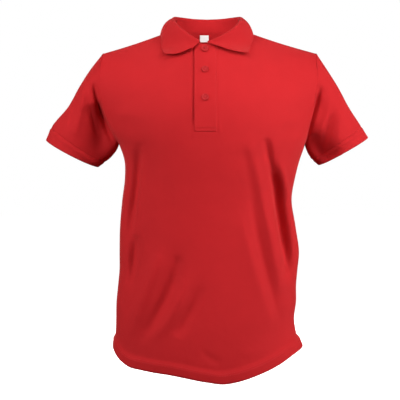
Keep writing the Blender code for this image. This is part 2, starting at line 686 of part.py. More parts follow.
def main():
    for old in list(bpy.data.objects):
        bpy.data.objects.remove(old)

    pique = cloth_material("red_pique", (0.60, 0.030, 0.036), 0.85)
    rib = cloth_material("red_rib", (0.60, 0.030, 0.036), 0.85)
    plastic = cloth_material("red_button", (0.50, 0.020, 0.028), 0.35)
    white = cloth_material("white_label", (0.90, 0.88, 0.85), 0.60)

    panels = {"front": panel_grid(FRONT), "back": panel_grid(BACK)}
    sleeves = {
        "sleeve_left": sleeve_grid(1, 0.0, 1.0, SLEEVE_RINGS),
        "sleeve_right": sleeve_grid(-1, 0.0, 1.0, SLEEVE_RINGS),
    }
    cuffs = {
        "cuff_left": sleeve_grid(1, 1.0, 1.15, CUFF_RINGS),
        "cuff_right": sleeve_grid(-1, 1.0, 1.15, CUFF_RINGS),
    }
    upper_lift = LAY_GAP + BAND
    upper_band = band_grid(BAND_RIGHT_X, BAND_LEFT_X, BAND_FOOT_LEVEL, upper_lift)
    under_band = band_grid(
        BAND_RIGHT_X + UNDERBAND_INSET, BAND_LEFT_X - UNDERBAND_INSET,
        BAND_FOOT_LEVEL + UNDERBAND_INSET, -(CLOTH + LAY_GAP),
    )
    under = faces_of(*((g, False) for g in panels.values()), (upper_band, False))
    collar = collar_grid(under)

    torso = [(grid, False) for grid in panels.values()]
    arms = [(grid, True) for grid in (*sleeves.values(), *cuffs.values())]
    total = shared_normals(torso, arms, [(collar, False)])

    slit = slit_cells()
    wall("front", panels["front"], normals_of(panels["front"], total), CLOTH, pique,
         seams=("sides", "top"), left_out=slit)
    wall("back", panels["back"], normals_of(panels["back"], total), CLOTH, pique, seams=("sides", "top"))
    for name, grid in sleeves.items():
        wall(name, grid, normals_of(grid, total), CLOTH, pique, seams=("bottom", "top"), ring=True)
    for name, grid in cuffs.items():
        wall(name, grid, normals_of(grid, total), RIB, rib, seams=("bottom",), ring=True)
    wall("collar", collar, normals_of(collar, total), RIB, rib, seams=("bottom",))

    for name, grid in (("placket_upper", upper_band), ("placket_under", under_band)):
        wall(name, grid, normals_of(grid, shared_normals([(grid, False)])), BAND, pique)
    band = faces_of((upper_band, False))
    for name, height in BUTTON_HEIGHTS.items():
        button(name, height, band, plastic)
    label = label_grid()
    wall("label", label, normals_of(label, shared_normals([(label, False)])), LABEL_THICKNESS, white)


def slit_cells():
    """The faces left out of the front where it is slit under the placket."""
    places, levels = panel_places(), panel_levels()
    return {
        (r, c)
        for r in range(len(levels) - 1)
        for c in range(len(places) - 1)
        if levels[r] > SLIT_FOOT_LEVEL
        and places[c] > SLIT_RIGHT_PLACE - 1e-9
        and places[c + 1] < SLIT_LEFT_PLACE + 1e-9
    }


main()
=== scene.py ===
"""The looks of a red short-sleeved polo shirt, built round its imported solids.

The frame is the solids' own: +Z up, the front faces -Y, +X is the wearer's left, and the origin
lies midway between the high shoulder points. Lengths are in metres, and in the tables in
millimetres. Every cloth piece repeats the form that its solid has, finer, with creases, drawn-in
seams, knit and stitches added.
"""

import math
from collections import namedtuple

import bmesh
import bpy
import numpy as np
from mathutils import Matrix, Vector
from mathutils.bvhtree import BVHTree


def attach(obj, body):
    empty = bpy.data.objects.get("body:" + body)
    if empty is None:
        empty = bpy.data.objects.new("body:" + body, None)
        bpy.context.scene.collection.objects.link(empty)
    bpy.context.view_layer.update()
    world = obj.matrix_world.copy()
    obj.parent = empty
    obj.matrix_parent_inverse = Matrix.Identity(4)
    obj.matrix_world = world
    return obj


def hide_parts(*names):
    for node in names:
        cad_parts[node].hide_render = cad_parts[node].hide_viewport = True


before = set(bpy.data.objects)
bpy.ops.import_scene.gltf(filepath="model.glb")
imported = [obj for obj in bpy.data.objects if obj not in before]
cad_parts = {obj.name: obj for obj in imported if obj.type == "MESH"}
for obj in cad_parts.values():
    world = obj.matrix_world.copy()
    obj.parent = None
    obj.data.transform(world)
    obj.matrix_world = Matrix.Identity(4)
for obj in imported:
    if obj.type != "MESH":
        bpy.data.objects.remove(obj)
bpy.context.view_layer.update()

# ---- the solids' dimensions

CLOTH = 0.0014
RIB = 0.002
BAND = 0.0016
LAY_GAP = 0.0005

# A level names a row of the torso, and a place says where on it: -1 at the wearer's right side,
# 0 in the middle and 1 at the left side.
HEM_LEVEL = -0.643
UNDERARM_LEVEL = -0.232
TIP_LEVEL = -0.046

NECK_HALF_WIDTH = 0.08
SHOULDER_SEAM_Y = 0.005
SHOULDER_SAG = 0.0015
NECK_FRONT_Y = -0.076
NECK_BACK_Y = 0.048
NECK_FRONT_Z = -0.036
NECK_BACK_Z = 0.0025
NECK_PLACE = 0.4  # where a shoulder seam meets the neck
ARMHOLE_DEPTH = 0.052
ARMHOLE_POWER = 2.3
RING_POWER = 2.35  # how square a ring of the torso is
SHOULDER_WRAP = 0.92  # and its sides at the shoulders
WRAP_RISE = 1.7

PLAIN_COLUMNS = ("along", "angle", "right_bow", "left_bow", "skew")


def table(kind, *rows):
    """Reads rows in millimetres, apart from the plain columns, which are no lengths."""
    return [
        kind(*(v if name in PLAIN_COLUMNS else v / 1000 for name, v in zip(kind._fields, row)))
        for row in rows
    ]


# A row for each level of the torso: its half widths, and the middle of the front and the back.
Level = namedtuple("Level", "level right left front_z front_y back_z back_y")
TORSO = table(
    Level,
    (-643, 191, 192, -701, -122, -672, 108),
    (-615, 188, 181, -667, -121, -642, 107),
    (-588, 187, 177, -634, -119, -613, 104),
    (-551, 186, 181, -589, -116, -573, 99),
    (-520, 183, 181, -554, -113, -539, 94),
    (-486, 180, 184, -516, -110, -503, 88),
    (-455, 180, 187, -481, -108, -469, 83),
    (-400, 179, 180, -420, -107, -410, 79),
    (-342, 174, 172, -357, -109, -349, 81),
    (-300, 169, 179, -313, -113, -306, 87),
    (-265, 170, 188, -276, -118, -269, 93),
    (-232, 181, 199, -242, -122, -235, 99),
    (-205, 194, 203, -213, -124, -206, 103),
    (-185, 201, 207, -190, -125, -183, 105),
    (-142, 213, 216, -143, -121, -136, 104),
    (-93, 217, 220, -92, -107, -82, 92),
    (-62, 216, 222, -60, -90, -38, 72),
    (-46, 214, 223, -38, -76, 2.5, 48),
)
YOKE_LEVEL = -0.195
YOKE_POWER = 2.1
NECK_BLUR = 0.3
NECK_SHARPNESS = 5

# How much of the front hem's dip is left at each place.
HEM_DIP = [
    (-1.0, 0.0), (-0.95, 0.24), (-0.85, 0.5), (-0.66, 0.64), (-0.38, 0.76), (0.0, 0.99),
    (0.15, 1.05), (0.3, 0.98), (0.5, 0.78), (0.73, 0.46), (0.88, 0.18), (1.0, 0.0),
]

# A row for each place along a sleeve: its upper and under edge, its depth to the front and back,
# and how far its front leads towards the cuff.
Section = namedtuple("Section", "along over_x over_z under_x under_z front back lead")
SLEEVE_LEFT = table(
    Section,
    (0.0, 223, -46, 199, -232, 52, 52, 0),
    (0.2, 243, -76, 202.5, -241.5, 50, 53, 1),
    (0.45, 267, -114, 206, -250, 50, 53, 2),
    (0.72, 289, -155, 210.5, -257, 50, 51, 3),
    (1.0, 315, -195, 215.5, -263.5, 49, 49, 3),
    (1.15, 329, -217, 228, -274.5, 48, 48, 3),
)
SLEEVE_RIGHT = table(
    Section,
    (0.0, 214, -46, 181, -232, 52, 52, 0),
    (0.2, 238, -76, 186, -243, 50, 53, 1),
    (0.45, 262, -113, 193, -252.5, 50, 53, 3),
    (0.72, 285, -154, 201, -261, 50, 51, 4),
    (1.0, 320, -197, 211, -268.5, 49, 49, 5),
    (1.15, 331, -222, 224, -278.5, 48, 48, 5),
)
CUFF_END = 1.15
SLEEVE_Y = 0.003
ARMHOLE_FADE = 1.6
SLEEVE_HEADING = (0.49, -0.87)

BAND_RIGHT_X = -0.026
BAND_LEFT_X = 0.018
BAND_FOOT_LEVEL = -0.206
BAND_TOP_DROP = 0.0015
UNDERBAND_INSET = 0.004
SLIT_RIGHT_PLACE = -0.05
SLIT_LEFT_PLACE = 0.0
SLIT_FOOT_LEVEL = -0.19

BUTTON_X = -0.0055
BUTTON_HEIGHTS = {"button_top": -0.0475, "button_middle": -0.0905, "button_bottom": -0.1465}
BUTTON_RADIUS = 0.007
BUTTON_THICKNESS = 0.0026
BUTTON_GAP = 0.0007
# The button turned: shares of its radius and thickness, from the back's edge to the middle's.
BUTTON_PROFILE = [
    (0.78, 0.0), (0.9, 0.1), (0.975, 0.32), (1.0, 0.55), (0.985, 0.78), (0.94, 0.94),
    (0.88, 1.0), (0.81, 0.97), (0.75, 0.86), (0.7, 0.72), (0.62, 0.64), (0.46, 0.62),
    (0.3, 0.63),
]
BUTTON_SIDES = 48
HOLE_RADIUS = 0.00075
STRAND_RADIUS, STRAND_APART = 0.00024, 0.00022
STRAND_REACH, STRAND_RISE = 0.0013, 0.00045
HOLE_OUT = 0.00125  # to a hole's middle, across and up

# The collar's cut at angles round the neck, from the slit (0) to the middle of the back (180).
Collar = namedtuple(
    "Collar",
    "angle stand lean right_droop left_droop right_bow left_bow"
    " right_x left_x edge_y right_z left_z",
)
COLLAR = table(
    Collar,
    (0, 1, 0, 37, 19, 0.1, 0.1, 81.5, 74.5, -60, -60, -61.5),
    (12, 6, 1, 22, 13, 0.15, 0.15, 88, 78, -53, -53, -53),
    (25, 10.5, 3, 10, 6, 0.25, 0.15, 91, 82.5, -43, -44.5, -43),
    (40, 14.5, 5, 3, 3, 0.35, 0.2, 93, 88, -31, -34, -32),
    (60, 18, 9, 0, 0, 0.48, 0.3, 94, 91.5, -15, -20, -20.5),
    (90, 24, 15, 0, 0, 0.65, 0.5, 95, 91, 4, -6, -7),
    (115, 26.8, 13, 0, 0, 0.6, 0.5, 86, 84, 16, -10, -10),
    (140, 26.8, 8, 0, 0, 0.5, 0.42, 65, 64, 37, -11, -11),
    (160, 25.5, 4, 0, 0, 0.45, 0.45, 35, 35, 53, -13, -13),
    (180, 25, 3, 0, 0, 0.45, 0.45, 0, 0, 58, -14, -14),
)
COLLAR_ROLL = 0.0027
ROLL_SWELL = 0.0013
COLLAR_KNIT = 0.0013
LEAF_CLEARANCE = 0.0006
LEAF_LIFT = 0.0065  # how far the leaf's points stand off the front
LIFT_FADE = 22  # and the angle where that ends
ROLL_TURN = math.pi * 0.8
LEAF_PASSES = 6  # of smoothing

LABEL_X = -0.0064
LABEL_WIDTH = 0.018
LABEL_LENGTH = 0.014
LABEL_DROP = 0.0045
LABEL_STANDS_IN = 0.0023
LABEL_CLOTH = 0.0007

# ---- creases

# A crease runs through three points of the front or back view. width is its half width, depth
# how far the cloth stands out (or in, below 0), and skew how much steeper its right side is.
Crease = namedtuple("Crease", "x1 z1 x2 z2 x3 z3 width depth skew", defaults=[0.0])
FRONT_CREASES = table(
    Crease,
    # the wearer's left flank: ridge, deep trough, and the pair below them
    (84, -240, 119, -395, 153, -555, 10, 8.5),
    (114, -226, 121, -262, 134, -315, 8, -10.5),
    (130, -290, 150.5, -390, 165, -500, 10.5, -37),
    (142, -270, 166, -360, 177, -450, 7, 10),
    (68, -245, 80, -300, 90, -360, 8, -1.2),
    (86, -345, 109, -463, 144, -585, 8.5, -5.8),
    (65, -380, 88, -465, 125, -588, 11.5, 4, 0.5),
    # the wearer's right flank
    (-137, -246, -147.5, -335, -161, -425, 10, -23),
    (-147, -415, -149, -462, -156, -515, 10, -16),
    (-94, -452, -121, -522, -153, -612, 12.5, 8.5),
    (-60, -455, -78, -530, -123, -612, 11.5, -9.5),
    (-42, -500, -62, -555, -98, -612, 9.5, 5),
    (-16, -515, -38, -570, -62, -612, 11.5, -7),
    # the chest and the shoulders
    (-185, -190, -160, -176, -128, -186, 8, 1.6),
    (-186, -168, -150, -150, -110, -152, 10, -1.4),
    (186, -200, 160, -190, 132, -204, 9, 1.8),
    (190, -176, 160, -160, 120, -162, 11, -1.4),
    (23, -199, 23.5, -208, 26, -222, 2.6, 1.3),
    (-28, -210, -34, -226, -36, -246, 4, -0.7),
    (30, -250, 60, -262, 98, -258, 15, -1.2),
    (-90, -300, -78, -340, -82, -372, 15, -1.6),
    # just above the hem
    (-12, -640, 6, -655, 26, -662, 7, -1.8),
    (60, -640, 84, -645, 110, -636, 8, 1.2),
)
BACK_CREASES = table(
    Crease,
    (120, -200, 112, -300, 90, -420, 14, -6.5),
    (145, -215, 140, -290, 126, -380, 11, 3.5),
    (-125, -210, -112, -320, -85, -440, 14, -7),
    (-148, -225, -146, -300, -132, -360, 11, 3.5),
    (55, -380, 76, -500, 105, -600, 15, -6.5),
    (82, -360, 106, -470, 130, -560, 11, 4),
    (-50, -400, -74, -510, -110, -610, 15, -6.5),
    (-80, -380, -106, -480, -136, -560, 11, 4),
    (5, -360, 2, -500, -10, -620, 17, 5.5),
    (28, -300, 34, -360, 52, -410, 12, 2.5),
    (-60, -270, -30, -300, -14, -350, 12, -2.5),
    (100, -120, 60, -140, 20, -138, 12, -1.8),
    (-110, -112, -70, -130, -30, -130, 11, -1.6),
    (178, -160, 150, -190, 132, -226, 9, 2.5),
    (-178, -150, -154, -186, -136, -220, 9, 2.5),
)
# The same for the fronts and backs of the sleeves, drawn for the wearer's left and mirrored.
SLEEVE_CREASES = {
    (1, -1): table(
        Crease,
        (226, -118, 206, -172, 192, -235, 7.8, -15),
        (250, -170, 241, -205, 236, -238, 7.5, -7),
        (272, -140, 268, -185, 262, -226, 11, 4.5),
        (228, -140, 225, -165, 224, -190, 12, -3),
        (204, -218, 228, -246, 262, -268, 20, -24),
        (236, -80, 258, -112, 272, -150, 11, 1.5),
    ),
    (-1, -1): table(
        Crease,
        (222, -112, 203.5, -172, 185, -238, 6.6, -15),
        (233, -150, 228, -180, 222, -212, 5.5, -5),
        (247, -110, 252, -160, 268, -218, 8.5, 6),
        (216, -150, 210, -212, 234, -268, 30, -29),
        (272, -120, 280, -170, 282, -220, 12, 3),
        (238, -76, 262, -112, 278, -150, 10, 1.2),
    ),
    (1, 1): table(
        Crease,
        (236, -90, 222, -160, 206, -230, 12, -8.5),
        (262, -110, 256, -170, 246, -230, 11, 4),
        (282, -150, 276, -190, 270, -235, 9, -3),
    ),
    (-1, 1): table(
        Crease,
        (232, -80, 218, -150, 200, -235, 12, -8.5),
        (256, -120, 252, -180, 240, -240, 11, 4),
        (286, -160, 276, -205, 264, -245, 9, -3),
    ),
}

CREASE_END = 0.15  # a crease's depth at its ends, as a share of the whole
CREASE_SPREAD = 0.2  # how far creases push the cloth sideways at the sides
LEAST_BULGE = 0.05
SIDE_FADE = 8  # how sharply the creases end at the side seams
SLEEVE_FADE = 24  # and how soon they begin below the armhole

SEAM_DIP = 0.0006  # how deep a sewn seam draws the cloth in
SIDE_DIP = 0.0003  # the same for a side seam and an armhole
SEAM_REACH = 0.0032  # and how far on either side of it
SHOULDER_BLEND = 0.06
HEM_DEPTH = 0.019  # from the hem's edge up to its stitches
HEM_STITCHES = (HEM_DEPTH - 0.003, HEM_DEPTH + 0.001)
HEM_STEP = 0.0036  # how far the turned-up hem stands out
HEM_TOP = 0.026  # where that step begins
HEM_RAMP = 0.0095  # and how wide it is
HEM_TUCK = 0.0006  # how far the edge turns in
CUFF_SWELL, SWELL_UP, SWELL_WIDTH = 0.0005, 0.005, 0.003

UPPER_BAND = 0.0009  # the upper band's cloth
BAND_STITCH_IN = 0.0028  # from a placket band's edges to its stitches
BAND_FOOT_STITCH = 0.0016
BOX_HEIGHT = 0.01  # of the sewn box at the upper band's foot
# Soft lines across the foot of the upper band: how far up, and how far out.
BOX_LINES = ((0.0012, 0.0003), (0.005, -0.0004), (BOX_HEIGHT + 0.0008, 0.0005))
SUNK_EDGE = 0.0024  # how wide the band's sewn side and foot slope down to the front
RAMP_BESIDE_BAND = 0.0006
GROOVE_BESIDE_BAND = 0.0028
GROOVE_AWAY, GROOVE_WIDTH = 0.0012, 0.0034
GROOVE_FOOT, GROOVE_TOP = -0.203, -0.04

ROUND_RIM = 0.35  # how far a wall's edge rounds out, as a share of its thickness
STITCH_PITCH = 0.0031
STITCH_LENGTH = 0.0024
THREAD_RADIUS = 0.00026
THREAD_SIDES = 6

# ---- mesh density

SIDE_COLUMNS = 48
NECK_COLUMNS = 80
BODY_ROWS = 120
ARMHOLE_ROWS = 56
SLEEVE_RINGS = 60
CUFF_RINGS = 14
STAND_ROWS = 10
ROLL_ROWS = 10
LEAF_ROWS = 26
BAND_COLUMNS = 26
BAND_ROWS = 96
LABEL_ROWS = 15
LABEL_COLUMNS = 11
CREASE_STEPS = 12
SCAN_STEPS = 241
PLACKET_PLACES = np.linspace(-0.3, 0.3, SCAN_STEPS)

FRONT, BACK = -1, 1

# ---- curves


def smooth(keys, values, at):
    """Reads a smooth curve through the keyed values."""
    keys, values, at = (np.asarray(a, float) for a in (keys, values, at))
    slopes = np.gradient(values, keys, axis=0)
    i = np.clip(np.searchsorted(keys, at) - 1, 0, len(keys) - 2)
    span = keys[i + 1] - keys[i]
    t = (at - keys[i]) / span
    return (
        (2 * t**3 - 3 * t**2 + 1) * values[i]
        + (t**3 - 2 * t**2 + t) * span * slopes[i]
        + (3 * t**2 - 2 * t**3) * values[i + 1]
        + (t**3 - t**2) * span * slopes[i + 1]
    )


def row_at(rows, at):
    """What each further column of a table reads at a value of its first one."""
    keys, *columns = np.array(rows).T
    return [smooth(keys, column, at) for column in columns]


def ease(t):
    t = np.clip(t, 0, 1)
    return t * t * (3 - 2 * t)


def together(*values):
    return np.broadcast_arrays(*(np.asarray(v, float) for v in values))


def unit(vectors):
    return vectors / np.maximum(np.linalg.norm(vectors, axis=-1, keepdims=True), 1e-12)


def arc(first, middle, last, ts):
    """A curve through three evenly spaced values."""
    bend = 2 * middle - (first + last) / 2
    return (1 - ts) ** 2 * first + 2 * ts * (1 - ts) * bend + ts**2 * last


def crease_depth(x, z, creases):
    """How far the creases lift the cloth at points of the front or back view."""
    x, z = together(x, z)
    depth = np.zeros(x.shape)
    ts = np.linspace(0, 1, CREASE_STEPS + 1)
    for c in creases:
        px, pz = arc(c.x1, c.x2, c.x3, ts), arc(c.z1, c.z2, c.z3, ts)
        nearest = np.full(x.shape, np.inf)
        along = np.zeros(x.shape)
        side = np.zeros(x.shape)
        for i in range(len(ts) - 1):
            run_x, run_z = px[i + 1] - px[i], pz[i + 1] - pz[i]
            t = ((x - px[i]) * run_x + (z - pz[i]) * run_z) / (run_x**2 + run_z**2)
            t = np.clip(t, 0, 1)
            off_x, off_z = x - px[i] - t * run_x, z - pz[i] - t * run_z
            away = np.hypot(off_x, off_z)
            closer = away < nearest
            nearest = np.where(closer, away, nearest)
            along = np.where(closer, ts[i] + t * (ts[i + 1] - ts[i]), along)
            side = np.where(closer, np.sign(off_x * -run_z + off_z * run_x), side)
        width = c.width * (1 - c.skew * side)
        swell = np.sin(math.pi * np.clip(along, 0, 1)) ** 0.7
        swell = CREASE_END + (1 - CREASE_END) * swell
        depth += c.depth * swell * np.exp(-((nearest / width) ** 2))
    return depth


# ---- torso


def armhole_oval(level):
    middle = (UNDERARM_LEVEL + TIP_LEVEL) / 2
    off_middle = np.abs(np.asarray(level, float) - middle) / (TIP_LEVEL - middle)
    return np.clip(1 - off_middle**ARMHOLE_POWER, 0, 1) ** (1 / ARMHOLE_POWER)


def ring_point(place, level, side):
    """A point of the torso before its rows bend to the shoulder seams and the neck."""
    place, level = together(place, level)
    right, left, *middles = row_at(TORSO, level)
    middle_z, middle_y = middles[:2] if side == FRONT else middles[2:]

    up_armhole = np.clip((level - UNDERARM_LEVEL) / (TIP_LEVEL - UNDERARM_LEVEL), 0, 1)
    seam_y = SHOULDER_SEAM_Y * up_armhole
    wrap = 1 / RING_POWER + (SHOULDER_WRAP - 1 / RING_POWER) * ease(up_armhole * WRAP_RISE)
    cut = ARMHOLE_DEPTH * armhole_oval(level) / np.abs(middle_y - seam_y)
    kept = (1 - cut ** (1 / wrap)) ** (1 / RING_POWER)
    bulge = np.clip(1 - np.abs(place * kept) ** RING_POWER, 0, 1) ** wrap

    dip = smooth(*zip(*HEM_DIP), place) if side == FRONT else 1 - place**2
    x = (left - right) / 2 + place * (left + right) / 2
    y = seam_y + (middle_y - seam_y) * bulge
    z = level + (middle_z - level) * dip

    creases = FRONT_CREASES if side == FRONT else BACK_CREASES
    lift = crease_depth(x, z, creases) * (1 - np.abs(place) ** SIDE_FADE)
    out = unit(np.stack([CREASE_SPREAD * place, side * np.maximum(bulge, LEAST_BULGE)], axis=-1))
    return np.stack([x + lift * out[..., 0], y + lift * out[..., 1], z], axis=-1)


def top_edge(place, side):
    """A panel's upper edge: the shoulder seams, and the neckline between them."""
    place = np.asarray(place, float)
    sign = np.where(place < 0, -1, 1)
    tip_x = np.where(place < 0, TORSO[-1].right, TORSO[-1].left)
    seam = np.clip((np.abs(place) - NECK_PLACE) / (1 - NECK_PLACE), 0, 1)
    turn = np.clip(1 - np.abs(place) / NECK_PLACE, 0, 1) * math.pi / 2
    neck_y, neck_z = (NECK_FRONT_Y, NECK_FRONT_Z) if side == FRONT else (NECK_BACK_Y, NECK_BACK_Z)
    x = sign * (NECK_HALF_WIDTH * np.cos(turn) + (tip_x - NECK_HALF_WIDTH) * seam)
    y = SHOULDER_SEAM_Y + (neck_y - SHOULDER_SEAM_Y) * np.sin(turn)
    sag = SHOULDER_SAG * np.sin(math.pi * seam)
    z = TIP_LEVEL * seam - sag + neck_z * np.sin(turn) ** 2
    return np.stack([x, y, z], axis=-1)


def torso_point(place, level, side):
    """A point of the torso's outer face."""
    place, level = together(place, level)
    rise = np.clip((level - YOKE_LEVEL) / (TIP_LEVEL - YOKE_LEVEL), 0, 1)[..., None]
    reach = NECK_BLUR * np.clip((1 - np.abs(place)) / NECK_BLUR, 0, 1)
    blurred = sum(top_edge(place + reach * k / 3, side) for k in range(-3, 4)) / 7
    edge = blurred + rise**NECK_SHARPNESS * (top_edge(place, side) - blurred)
    to_edge = edge - ring_point(place, np.full_like(level, TIP_LEVEL), side)
    return ring_point(place, level, side) + rise**YOKE_POWER * to_edge


def torso_normal(place, level, side, step=1e-3):
    across = torso_point(place + step, level, side) - torso_point(place - step, level, side)
    down = np.minimum(level - 2 * step, TIP_LEVEL - 2 * step)
    up = torso_point(place, down + 2 * step, side) - torso_point(place, down, side)
    return unit(np.cross(across, up)) * (1 if side == FRONT else -1)


def panel_places():
    edge_turn = math.acos(NECK_PLACE)
    side = np.cos(np.linspace(0, edge_turn, SIDE_COLUMNS + 1))[:-1]
    neck = np.linspace(-NECK_PLACE, NECK_PLACE, NECK_COLUMNS + 1)
    return np.concatenate([-side, neck, side[::-1]])


def armhole_levels():
    turn = np.linspace(0, math.pi, ARMHOLE_ROWS + 1)
    return UNDERARM_LEVEL + (TIP_LEVEL - UNDERARM_LEVEL) * (1 - np.cos(turn)) / 2


def panel_levels():
    body = np.linspace(HEM_LEVEL, UNDERARM_LEVEL, BODY_ROWS + 1)
    return np.concatenate([body[:-1], armhole_levels()])


def panel_grid(side):
    """The panel's points, in rows from the hem up, with columns that make it face out."""
    places = panel_places() * (1 if side == FRONT else -1)
    return torso_point(places[None, :], panel_levels()[:, None], side)


# ---- sleeves


def armhole_loop(hand):
    """The armhole from the shoulder's tip down the front to the underarm and up the back."""
    levels = armhole_levels()
    front = torso_point(hand, levels, FRONT)[::-1]
    back = torso_point(hand, levels, BACK)
    return np.concatenate([front, back[1:-1]])


def sleeve_ring(sections, turn, along, hand):
    over_x, over_z, under_x, under_z, front, back, lead = row_at(sections, along)
    lean, reach = np.cos(turn), np.sin(turn)
    led = lead * np.clip(reach, 0, 1)
    x = (over_x + under_x) / 2 + lean * (over_x - under_x) / 2 + led * SLEEVE_HEADING[0]
    z = (over_z + under_z) / 2 + lean * (over_z - under_z) / 2 + led * SLEEVE_HEADING[1]
    y = SLEEVE_Y * along - np.where(reach > 0, front, back) * reach
    fade = ease(along * SLEEVE_FADE)
    y = y - np.clip(reach, 0, 1) * crease_depth(x, z, SLEEVE_CREASES[hand, FRONT]) * fade
    y = y + np.clip(-reach, 0, 1) * crease_depth(x, z, SLEEVE_CREASES[hand, BACK]) * fade
    return np.stack([x, y, z], axis=-1)


def sleeve_grid(hand, start, end, rings):
    """Rings round one sleeve between two places along it. hand is +1 for the wearer's left."""
    sections = SLEEVE_LEFT if hand > 0 else SLEEVE_RIGHT
    armhole = armhole_loop(hand) * [hand, 1, 1]
    turn = np.linspace(0, 2 * math.pi, len(armhole), endpoint=False)
    own_shape = armhole - sleeve_ring(sections, turn, 0.0, hand)
    grid = np.stack([
        sleeve_ring(sections, turn, along, hand) + own_shape * max(0, 1 - along) ** ARMHOLE_FADE
        for along in np.linspace(start, end, rings + 1)
    ])
    return grid if hand > 0 else grid[:, ::-1] * [-1, 1, 1]


# ---- collar


def neckline():
    """(points, angles) of the collar's seam, from one side of the slit round to the other."""
    places = panel_places()
    neck = places[np.abs(places) < NECK_PLACE + 1e-9]
    left = neck[neck >= SLIT_LEFT_PLACE - 1e-9]
    right = neck[neck <= SLIT_RIGHT_PLACE + 1e-9]
    behind = neck[::-1]
    points = np.concatenate([
        top_edge(left, FRONT), top_edge(behind, BACK)[1:-1], top_edge(right, FRONT),
    ])
    quarter = [0, 90]
    angles = np.concatenate([
        np.interp(left, [SLIT_LEFT_PLACE, NECK_PLACE], quarter),
        180 - np.interp(np.abs(behind[1:-1]), [0, NECK_PLACE], quarter),
        np.interp(-right, [-SLIT_RIGHT_PLACE, NECK_PLACE], quarter),
    ])
    return points, angles


def collar_section(seam, outward, angle, hand, below):
    """The collar cut across: up the stand, over the roll and down the leaf."""
    row = Collar(angle, *(float(value) for value in row_at(COLLAR, angle)))
    half = "left" if hand > 0 else "right"
    droop, bow, x, z = (getattr(row, f"{half}_{n}") for n in ("droop", "bow", "x", "z"))
    up = np.array([0, 0, 1.0])
    lifted = LEAF_LIFT * max(0.0, 1 - angle / LIFT_FADE)
    edge = laid_on([hand * x, row.edge_y, z], below, COLLAR_KNIT + LEAF_CLEARANCE + lifted)
    roll_radius = COLLAR_ROLL + ROLL_SWELL * math.sin(math.radians(angle))

    top = seam + up * row.stand - outward * row.lean
    middle = top + outward * roll_radius
    rise = [seam + (top - seam) * i / STAND_ROWS for i in range(STAND_ROWS)]
    roll = [
        middle + roll_radius * (math.sin(t) * up - math.cos(t) * outward)
        for t in np.linspace(0, ROLL_TURN, ROLL_ROWS + 1)
    ]
    start = roll[-1]
    level_out = (edge - start) * [1, 1, 0]
    straight = start + 0.5 * (edge - start)
    full = start + 0.1 * (edge - start) + 0.9 * level_out
    knee = straight + bow * (full - straight) - droop * up
    leaf = []
    for t in np.linspace(0, 1, LEAF_ROWS + 1)[1:]:
        point = (1 - t) ** 2 * start + 2 * t * (1 - t) * knee + t * t * edge
        least = COLLAR_KNIT + LEAF_CLEARANCE + lifted * min(1, 4 * t)
        leaf.append(laid_over(point, below, least))
    return np.array(rise + roll + leaf)


def collar_grid(below):
    """The collar's points, in rows from the neck seam over the roll to the leaf's edge."""
    points, angles = neckline()
    outward = np.cross(np.gradient(points, axis=0), [0, 0, 1.0])
    outward = unit(outward * [1, 1, 0])
    left_end = (len(points) - 1) // 2
    sections = [
        collar_section(points[i], outward[i], angles[i], 1 if i <= left_end else -1, below)
        for i in range(len(points))
    ]
    grid = np.stack(sections, axis=1)
    leaf = slice(STAND_ROWS + ROLL_ROWS + 1, None)
    for _ in range(LEAF_PASSES):
        grid[leaf, 1:-1] += 0.25 * (grid[leaf, :-2] - 2 * grid[leaf, 1:-1] + grid[leaf, 2:])
    return grid


def laid_on(point, below, clearance):
    place, normal, _, _ = below.find_nearest(Vector(point))
    return np.array(place + normal * clearance)


def laid_over(point, below, clearance):
    """The point, moved out only where it is over a face and nearer to it than that."""
    place, normal, _, _ = below.find_nearest(Vector(point))
    offset = Vector(point) - place
    height = offset.dot(normal)
    beside = (offset - normal * height).length
    kept = height >= clearance or beside > max(0.002, abs(height))
    return point if kept else laid_on(point, below, clearance)


# ---- placket, label


def places_at(x, level):
    """The front's places at this level that lie at x."""
    return np.interp(x, torso_point(PLACKET_PLACES, level, FRONT)[:, 0], PLACKET_PLACES)


def band_grid(inset, lift):
    """A placket band's outer face, lifted off the front's own form."""
    levels = np.linspace(BAND_FOOT_LEVEL + inset, TIP_LEVEL - BAND_TOP_DROP, BAND_ROWS + 1)
    across = np.linspace(BAND_RIGHT_X + inset, BAND_LEFT_X - inset, BAND_COLUMNS + 1)
    places = np.array([places_at(across, level) for level in levels])
    points = torso_point(places, levels[:, None], FRONT)
    return points + lift * torso_normal(places, levels[:, None] + 0 * places, FRONT)


def label_grid():
    """The neck label, hanging just inside the back, its lower corners a little lifted."""
    y = NECK_BACK_Y - LABEL_STANDS_IN
    top = NECK_BACK_Z - LABEL_DROP
    u, v = np.meshgrid(np.linspace(-0.5, 0.5, LABEL_COLUMNS), np.linspace(1, 0, LABEL_ROWS))
    curl = -0.0006 * v**2 - 0.0006 * v * (2 * u) ** 2
    return np.stack([LABEL_X + LABEL_WIDTH * u, y + curl, top - LABEL_LENGTH * v], axis=-1)


# ---- grids


def grid_normals(grid, ring):
    closed = np.concatenate([grid, grid[:, :1]], axis=1) if ring else grid
    a, b, c, d = closed[:-1, :-1], closed[:-1, 1:], closed[1:, 1:], closed[1:, :-1]
    face = unit(np.cross(c - a, d - b))
    total = np.zeros_like(closed)
    for part in (total[:-1, :-1], total[:-1, 1:], total[1:, 1:], total[1:, :-1]):
        part += face
    if ring:
        total[:, 0] += total[:, -1]
        total = total[:, :-1]
    return unit(total)


def quads_of(shape, ring):
    """The numbers of the four points of each face of a grid."""
    number = np.arange(shape[0] * shape[1]).reshape(shape[:2])
    here, after = number[:, :-1], number[:, 1:]
    if ring:
        here, after = number, np.roll(number, -1, axis=1)
    return np.stack([here[:-1], after[:-1], after[1:], here[1:]], axis=-1)


